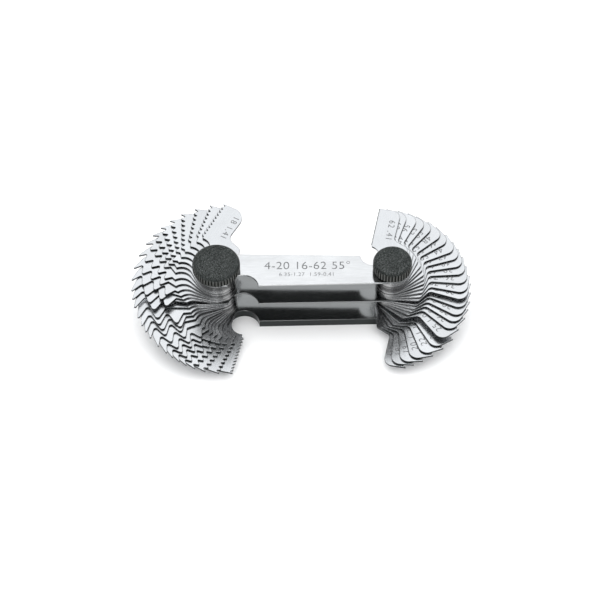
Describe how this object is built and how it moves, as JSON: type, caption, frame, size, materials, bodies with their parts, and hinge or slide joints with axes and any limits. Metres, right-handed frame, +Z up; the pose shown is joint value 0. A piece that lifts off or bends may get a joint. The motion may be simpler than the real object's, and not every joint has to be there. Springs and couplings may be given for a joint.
{
  "type": "screw pitch gauge",
  "caption": "Double-ended thread pitch gauge: fans of toothed steel leaves turn on a knurled thumb screw at each end of a narrow plate handle.",
  "frame": {"origin": "on the underside of the bottom plate, half way between the two pivots", "axes": "+X from the coarse end's pivot to the fine end's pivot, +Y towards the back edge, +Z up along the pivots, from the bottom plate to the screw heads"},
  "size_m": [0.109, 0.0551, 0.0269],
  "materials": {
    "plate_steel": "satin, ground bright, with bright sheared edges",
    "leaf_steel": "satin, fine ground, with darker stamped edges",
    "black_screw": "blackened steel, matt, knurled"
  },
  "bodies": {
    "handle": {"bottom_plate": "plate_steel", "middle_plate": "plate_steel", "top_plate": "plate_steel", "spacer_washer": "plate_steel"},
    "thumb_screw_coarse": {"thumb_screw_coarse": "black_screw"},
    "thumb_screw_fine": {"thumb_screw_fine": "black_screw"},
    "leaf_coarse_01": {"leaf_coarse_01": "leaf_steel"},
    "leaf_coarse_02": {"leaf_coarse_02": "leaf_steel"},
    "leaf_coarse_03": {"leaf_coarse_03": "leaf_steel"},
    "leaf_coarse_04": {"leaf_coarse_04": "leaf_steel"},
    "leaf_coarse_05": {"leaf_coarse_05": "leaf_steel"},
    "leaf_coarse_06": {"leaf_coarse_06": "leaf_steel"},
    "leaf_coarse_07": {"leaf_coarse_07": "leaf_steel"},
    "leaf_coarse_08": {"leaf_coarse_08": "leaf_steel"},
    "leaf_coarse_09": {"leaf_coarse_09": "leaf_steel"},
    "leaf_coarse_10": {"leaf_coarse_10": "leaf_steel"},
    "leaf_coarse_11": {"leaf_coarse_11": "leaf_steel"},
    "leaf_coarse_12": {"leaf_coarse_12": "leaf_steel"},
    "leaf_coarse_13": {"leaf_coarse_13": "leaf_steel"},
    "leaf_coarse_14": {"leaf_coarse_14": "leaf_steel"},
    "leaf_coarse_15": {"leaf_coarse_15": "leaf_steel"},
    "leaf_coarse_16": {"leaf_coarse_16": "leaf_steel"},
    "leaf_coarse_17": {"leaf_coarse_17": "leaf_steel"},
    "leaf_coarse_18": {"leaf_coarse_18": "leaf_steel"},
    "leaf_coarse_19": {"leaf_coarse_19": "leaf_steel"},
    "leaf_coarse_20": {"leaf_coarse_20": "leaf_steel"},
    "leaf_coarse_21": {"leaf_coarse_21": "leaf_steel"},
    "leaf_coarse_22": {"leaf_coarse_22": "leaf_steel"},
    "leaf_coarse_23": {"leaf_coarse_23": "leaf_steel"},
    "leaf_coarse_24": {"leaf_coarse_24": "leaf_steel"},
    "leaf_coarse_25": {"leaf_coarse_25": "leaf_steel"},
    "leaf_coarse_26": {"leaf_coarse_26": "leaf_steel"},
    "leaf_coarse_27": {"leaf_coarse_27": "leaf_steel"},
    "leaf_fine_01": {"leaf_fine_01": "leaf_steel"},
    "leaf_fine_02": {"leaf_fine_02": "leaf_steel"},
    "leaf_fine_03": {"leaf_fine_03": "leaf_steel"},
    "leaf_fine_04": {"leaf_fine_04": "leaf_steel"},
    "leaf_fine_05": {"leaf_fine_05": "leaf_steel"},
    "leaf_fine_06": {"leaf_fine_06": "leaf_steel"},
    "leaf_fine_07": {"leaf_fine_07": "leaf_steel"},
    "leaf_fine_08": {"leaf_fine_08": "leaf_steel"},
    "leaf_fine_09": {"leaf_fine_09": "leaf_steel"},
    "leaf_fine_10": {"leaf_fine_10": "leaf_steel"},
    "leaf_fine_11": {"leaf_fine_11": "leaf_steel"},
    "leaf_fine_12": {"leaf_fine_12": "leaf_steel"},
    "leaf_fine_13": {"leaf_fine_13": "leaf_steel"},
    "leaf_fine_14": {"leaf_fine_14": "leaf_steel"},
    "leaf_fine_15": {"leaf_fine_15": "leaf_steel"},
    "leaf_fine_16": {"leaf_fine_16": "leaf_steel"},
    "leaf_fine_17": {"leaf_fine_17": "leaf_steel"},
    "leaf_fine_18": {"leaf_fine_18": "leaf_steel"},
    "leaf_fine_19": {"leaf_fine_19": "leaf_steel"},
    "leaf_fine_20": {"leaf_fine_20": "leaf_steel"},
    "leaf_fine_21": {"leaf_fine_21": "leaf_steel"},
    "leaf_fine_22": {"leaf_fine_22": "leaf_steel"},
    "leaf_fine_23": {"leaf_fine_23": "leaf_steel"},
    "leaf_fine_24": {"leaf_fine_24": "leaf_steel"},
    "leaf_fine_25": {"leaf_fine_25": "leaf_steel"}
  },
  "joints": [
    {"name": "thumb_screw_coarse_turn", "type": "hinge", "parent": "handle", "child": "thumb_screw_coarse", "pos_m": [-0.028, 0, 0.0111], "axis": [0, 0, 1], "continuous": true},
    {"name": "thumb_screw_fine_turn", "type": "hinge", "parent": "handle", "child": "thumb_screw_fine", "pos_m": [0.028, 0, 0.0111], "axis": [0, 0, 1], "continuous": true},
    {"name": "leaf_coarse_01_swing", "type": "hinge", "parent": "handle", "child": "leaf_coarse_01", "pos_m": [-0.028, 0, 0.0111], "axis": [0, 0, 1], "range_deg": [-84.8, 275.2]},
    {"name": "leaf_coarse_02_swing", "type": "hinge", "parent": "handle", "child": "leaf_coarse_02", "pos_m": [-0.028, 0, 0.0111], "axis": [0, 0, 1], "range_deg": [-94, 266]},
    {"name": "leaf_coarse_03_swing", "type": "hinge", "parent": "handle", "child": "leaf_coarse_03", "pos_m": [-0.028, 0, 0.0111], "axis": [0, 0, 1], "range_deg": [-104.5, 255.5]},
    {"name": "leaf_coarse_04_swing", "type": "hinge", "parent": "handle", "child": "leaf_coarse_04", "pos_m": [-0.028, 0, 0.0111], "axis": [0, 0, 1], "range_deg": [-114.3, 245.7]},
    {"name": "leaf_coarse_05_swing", "type": "hinge", "parent": "handle", "child": "leaf_coarse_05", "pos_m": [-0.028, 0, 0.0111], "axis": [0, 0, 1], "range_deg": [-123, 237]},
    {"name": "leaf_coarse_06_swing", "type": "hinge", "parent": "handle", "child": "leaf_coarse_06", "pos_m": [-0.028, 0, 0.0111], "axis": [0, 0, 1], "range_deg": [-131, 229]},
    {"name": "leaf_coarse_07_swing", "type": "hinge", "parent": "handle", "child": "leaf_coarse_07", "pos_m": [-0.028, 0, 0.0111], "axis": [0, 0, 1], "range_deg": [-138.5, 221.5]},
    {"name": "leaf_coarse_08_swing", "type": "hinge", "parent": "handle", "child": "leaf_coarse_08", "pos_m": [-0.028, 0, 0.0111], "axis": [0, 0, 1], "range_deg": [-146, 214]},
    {"name": "leaf_coarse_09_swing", "type": "hinge", "parent": "handle", "child": "leaf_coarse_09", "pos_m": [-0.028, 0, 0.0111], "axis": [0, 0, 1], "range_deg": [-156, 204]},
    {"name": "leaf_coarse_10_swing", "type": "hinge", "parent": "handle", "child": "leaf_coarse_10", "pos_m": [-0.028, 0, 0.0111], "axis": [0, 0, 1], "range_deg": [-166, 194]},
    {"name": "leaf_coarse_11_swing", "type": "hinge", "parent": "handle", "child": "leaf_coarse_11", "pos_m": [-0.028, 0, 0.0111], "axis": [0, 0, 1], "range_deg": [-175, 185]},
    {"name": "leaf_coarse_12_swing", "type": "hinge", "parent": "handle", "child": "leaf_coarse_12", "pos_m": [-0.028, 0, 0.0111], "axis": [0, 0, 1], "range_deg": [-183, 177]},
    {"name": "leaf_coarse_13_swing", "type": "hinge", "parent": "handle", "child": "leaf_coarse_13", "pos_m": [-0.028, 0, 0.0111], "axis": [0, 0, 1], "range_deg": [-189, 171]},
    {"name": "leaf_coarse_14_swing", "type": "hinge", "parent": "handle", "child": "leaf_coarse_14", "pos_m": [-0.028, 0, 0.0111], "axis": [0, 0, 1], "range_deg": [-195, 165]},
    {"name": "leaf_coarse_15_swing", "type": "hinge", "parent": "handle", "child": "leaf_coarse_15", "pos_m": [-0.028, 0, 0.0111], "axis": [0, 0, 1], "range_deg": [-202, 158]},
    {"name": "leaf_coarse_16_swing", "type": "hinge", "parent": "handle", "child": "leaf_coarse_16", "pos_m": [-0.028, 0, 0.0111], "axis": [0, 0, 1], "range_deg": [-208, 152]},
    {"name": "leaf_coarse_17_swing", "type": "hinge", "parent": "handle", "child": "leaf_coarse_17", "pos_m": [-0.028, 0, 0.0111], "axis": [0, 0, 1], "range_deg": [-213, 147]},
    {"name": "leaf_coarse_18_swing", "type": "hinge", "parent": "handle", "child": "leaf_coarse_18", "pos_m": [-0.028, 0, 0.0111], "axis": [0, 0, 1], "range_deg": [-218, 142]},
    {"name": "leaf_coarse_19_swing", "type": "hinge", "parent": "handle", "child": "leaf_coarse_19", "pos_m": [-0.028, 0, 0.0111], "axis": [0, 0, 1], "range_deg": [-226, 134]},
    {"name": "leaf_coarse_20_swing", "type": "hinge", "parent": "handle", "child": "leaf_coarse_20", "pos_m": [-0.028, 0, 0.0111], "axis": [0, 0, 1], "range_deg": [-233, 127]},
    {"name": "leaf_coarse_21_swing", "type": "hinge", "parent": "handle", "child": "leaf_coarse_21", "pos_m": [-0.028, 0, 0.0111], "axis": [0, 0, 1], "range_deg": [-238, 122]},
    {"name": "leaf_coarse_22_swing", "type": "hinge", "parent": "handle", "child": "leaf_coarse_22", "pos_m": [-0.028, 0, 0.0111], "axis": [0, 0, 1], "range_deg": [-243, 117]},
    {"name": "leaf_coarse_23_swing", "type": "hinge", "parent": "handle", "child": "leaf_coarse_23", "pos_m": [-0.028, 0, 0.0111], "axis": [0, 0, 1], "range_deg": [-248, 112]},
    {"name": "leaf_coarse_24_swing", "type": "hinge", "parent": "handle", "child": "leaf_coarse_24", "pos_m": [-0.028, 0, 0.0111], "axis": [0, 0, 1], "range_deg": [-254, 106]},
    {"name": "leaf_coarse_25_swing", "type": "hinge", "parent": "handle", "child": "leaf_coarse_25", "pos_m": [-0.028, 0, 0.0111], "axis": [0, 0, 1], "range_deg": [-261, 99]},
    {"name": "leaf_coarse_26_swing", "type": "hinge", "parent": "handle", "child": "leaf_coarse_26", "pos_m": [-0.028, 0, 0.0111], "axis": [0, 0, 1], "range_deg": [-270, 90]},
    {"name": "leaf_coarse_27_swing", "type": "hinge", "parent": "handle", "child": "leaf_coarse_27", "pos_m": [-0.028, 0, 0.0111], "axis": [0, 0, 1], "range_deg": [-279, 81]},
    {"name": "leaf_fine_01_swing", "type": "hinge", "parent": "handle", "child": "leaf_fine_01", "pos_m": [0.028, 0, 0.0111], "axis": [0, 0, -1], "range_deg": [-81, 279]},
    {"name": "leaf_fine_02_swing", "type": "hinge", "parent": "handle", "child": "leaf_fine_02", "pos_m": [0.028, 0, 0.0111], "axis": [0, 0, -1], "range_deg": [-86.5, 273.5]},
    {"name": "leaf_fine_03_swing", "type": "hinge", "parent": "handle", "child": "leaf_fine_03", "pos_m": [0.028, 0, 0.0111], "axis": [0, 0, -1], "range_deg": [-95, 265]},
    {"name": "leaf_fine_04_swing", "type": "hinge", "parent": "handle", "child": "leaf_fine_04", "pos_m": [0.028, 0, 0.0111], "axis": [0, 0, -1], "range_deg": [-102, 258]},
    {"name": "leaf_fine_05_swing", "type": "hinge", "parent": "handle", "child": "leaf_fine_05", "pos_m": [0.028, 0, 0.0111], "axis": [0, 0, -1], "range_deg": [-108.5, 251.5]},
    {"name": "leaf_fine_06_swing", "type": "hinge", "parent": "handle", "child": "leaf_fine_06", "pos_m": [0.028, 0, 0.0111], "axis": [0, 0, -1], "range_deg": [-118, 242]},
    {"name": "leaf_fine_07_swing", "type": "hinge", "parent": "handle", "child": "leaf_fine_07", "pos_m": [0.028, 0, 0.0111], "axis": [0, 0, -1], "range_deg": [-125, 235]},
    {"name": "leaf_fine_08_swing", "type": "hinge", "parent": "handle", "child": "leaf_fine_08", "pos_m": [0.028, 0, 0.0111], "axis": [0, 0, -1], "range_deg": [-134, 226]},
    {"name": "leaf_fine_09_swing", "type": "hinge", "parent": "handle", "child": "leaf_fine_09", "pos_m": [0.028, 0, 0.0111], "axis": [0, 0, -1], "range_deg": [-141, 219]},
    {"name": "leaf_fine_10_swing", "type": "hinge", "parent": "handle", "child": "leaf_fine_10", "pos_m": [0.028, 0, 0.0111], "axis": [0, 0, -1], "range_deg": [-148, 212]},
    {"name": "leaf_fine_11_swing", "type": "hinge", "parent": "handle", "child": "leaf_fine_11", "pos_m": [0.028, 0, 0.0111], "axis": [0, 0, -1], "range_deg": [-155, 205]},
    {"name": "leaf_fine_12_swing", "type": "hinge", "parent": "handle", "child": "leaf_fine_12", "pos_m": [0.028, 0, 0.0111], "axis": [0, 0, -1], "range_deg": [-163, 197]},
    {"name": "leaf_fine_13_swing", "type": "hinge", "parent": "handle", "child": "leaf_fine_13", "pos_m": [0.028, 0, 0.0111], "axis": [0, 0, -1], "range_deg": [-171, 189]},
    {"name": "leaf_fine_14_swing", "type": "hinge", "parent": "handle", "child": "leaf_fine_14", "pos_m": [0.028, 0, 0.0111], "axis": [0, 0, -1], "range_deg": [-177, 183]},
    {"name": "leaf_fine_15_swing", "type": "hinge", "parent": "handle", "child": "leaf_fine_15", "pos_m": [0.028, 0, 0.0111], "axis": [0, 0, -1], "range_deg": [-183, 177]},
    {"name": "leaf_fine_16_swing", "type": "hinge", "parent": "handle", "child": "leaf_fine_16", "pos_m": [0.028, 0, 0.0111], "axis": [0, 0, -1], "range_deg": [-190, 170]},
    {"name": "leaf_fine_17_swing", "type": "hinge", "parent": "handle", "child": "leaf_fine_17", "pos_m": [0.028, 0, 0.0111], "axis": [0, 0, -1], "range_deg": [-196, 164]},
    {"name": "leaf_fine_18_swing", "type": "hinge", "parent": "handle", "child": "leaf_fine_18", "pos_m": [0.028, 0, 0.0111], "axis": [0, 0, -1], "range_deg": [-203, 157]},
    {"name": "leaf_fine_19_swing", "type": "hinge", "parent": "handle", "child": "leaf_fine_19", "pos_m": [0.028, 0, 0.0111], "axis": [0, 0, -1], "range_deg": [-213, 147]},
    {"name": "leaf_fine_20_swing", "type": "hinge", "parent": "handle", "child": "leaf_fine_20", "pos_m": [0.028, 0, 0.0111], "axis": [0, 0, -1], "range_deg": [-220, 140]},
    {"name": "leaf_fine_21_swing", "type": "hinge", "parent": "handle", "child": "leaf_fine_21", "pos_m": [0.028, 0, 0.0111], "axis": [0, 0, -1], "range_deg": [-230, 130]},
    {"name": "leaf_fine_22_swing", "type": "hinge", "parent": "handle", "child": "leaf_fine_22", "pos_m": [0.028, 0, 0.0111], "axis": [0, 0, -1], "range_deg": [-239, 121]},
    {"name": "leaf_fine_23_swing", "type": "hinge", "parent": "handle", "child": "leaf_fine_23", "pos_m": [0.028, 0, 0.0111], "axis": [0, 0, -1], "range_deg": [-247, 113]},
    {"name": "leaf_fine_24_swing", "type": "hinge", "parent": "handle", "child": "leaf_fine_24", "pos_m": [0.028, 0, 0.0111], "axis": [0, 0, -1], "range_deg": [-254, 106]},
    {"name": "leaf_fine_25_swing", "type": "hinge", "parent": "handle", "child": "leaf_fine_25", "pos_m": [0.028, 0, 0.0111], "axis": [0, 0, -1], "range_deg": [-260, 100]}
  ]
}
